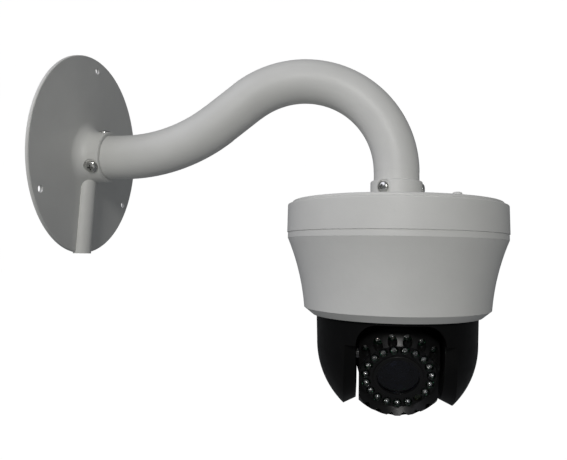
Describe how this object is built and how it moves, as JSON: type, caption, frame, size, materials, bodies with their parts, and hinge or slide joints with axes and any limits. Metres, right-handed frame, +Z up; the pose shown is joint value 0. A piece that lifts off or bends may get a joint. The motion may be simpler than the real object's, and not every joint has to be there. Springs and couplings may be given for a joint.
{
  "type": "ptz camera",
  "caption": "Pan and tilt dome camera on a gooseneck wall bracket: round wall plate, bent tube arm, white dome housing and a black head whose ball holds a lens ringed with lamps.",
  "frame": {"origin": "centre of the wall plate's back face, where it meets the wall", "axes": "+X runs out from the wall along the arm, the lens faces -Y, and +Z is up"},
  "size_m": [0.3014, 0.15, 0.2448],
  "materials": {
    "powder_coat": "fine-textured satin powder coat",
    "white_plastic": "smooth satin",
    "stainless_steel": "polished",
    "brass": "machined",
    "black_rubber": "matt",
    "aluminium": "cast and machined",
    "circuit_board": "solder resist",
    "black_component": "fine matt",
    "motor_steel": "plated",
    "black_shroud": "satin",
    "black_ball": "satin",
    "clear_lamp": "clear moulded",
    "light_cell": "tinted resin",
    "lens_glass": "coated"
  },
  "bodies": {
    "root": {"wall_plate": "powder_coat", "wall_collar_screws": "stainless_steel", "arm_tube": "powder_coat", "dome_collar_screws": "stainless_steel", "top_cover": "powder_coat", "cover_screws": "powder_coat", "cover_gasket": "black_rubber", "housing_ring": "powder_coat", "seam_gasket": "black_rubber", "lower_housing": "powder_coat", "housing_screws": "stainless_steel", "chassis_posts": "aluminium", "chassis_plate": "aluminium", "chassis_screws": "stainless_steel", "main_board": "circuit_board", "board_components": "black_component", "board_standoffs": "brass", "pan_motor": "motor_steel", "pan_belt": "black_rubber", "pan_bearing_outer": "stainless_steel", "slip_ring_bracket": "aluminium", "slip_ring_stator": "black_component"},
    "pan_drive": {"pan_motor_pulley": "aluminium"},
    "pan_head": {"pan_shaft": "aluminium", "pan_bearing_inner": "stainless_steel", "shaft_collar": "aluminium", "pan_pulley": "white_plastic", "slip_ring_rotor": "black_component", "yoke_frame": "aluminium", "shroud": "black_shroud", "shroud_screws": "stainless_steel", "head_board": "circuit_board", "head_board_spacers": "brass", "tilt_motor_mount": "aluminium", "tilt_motor": "motor_steel", "tilt_belt": "black_rubber", "tilt_bearings": "brass"},
    "tilt_drive": {"tilt_motor_pulley": "aluminium"},
    "tilt_ball": {"ball_front_shell": "black_ball", "ball_rear_shell": "black_ball", "drive_axle": "aluminium", "idle_axle": "aluminium", "axle_screws": "stainless_steel", "tilt_pulley": "white_plastic", "led_board": "circuit_board", "ring_lamps": "clear_lamp", "arc_lamps": "clear_lamp", "light_sensor": "light_cell", "window_rim": "black_ball", "lens_window": "lens_glass", "lens_barrel": "black_component", "front_lens": "lens_glass", "sensor_board": "circuit_board", "camera_module": "black_component"}
  },
  "joints": [
    {"name": "pan", "type": "hinge", "parent": "root", "child": "pan_head", "pos_m": [0.2264, 0, -0.08], "axis": [0, 0, 1], "continuous": true},
    {"name": "tilt", "type": "hinge", "parent": "pan_head", "child": "tilt_ball", "pos_m": [0.2264, 0, -0.1339], "axis": [0.9994, 0.0349, 0], "range_deg": [-30, 60]},
    {"name": "pan_motor_spin", "type": "hinge", "parent": "root", "child": "pan_drive", "pos_m": [0.2264, 0.042, -0.07], "axis": [0, 0, 1], "continuous": true},
    {"name": "tilt_motor_spin", "type": "hinge", "parent": "pan_head", "child": "tilt_drive", "pos_m": [0.2264, 0, -0.1079], "axis": [0.9994, 0.0349, 0], "range_deg": [-60, 120]}
  ],
  "couplings": [
    {"joint": "pan_motor_spin", "follows": "pan", "ratio": 4.6667},
    {"joint": "tilt_motor_spin", "follows": "tilt", "ratio": 2}
  ]
}
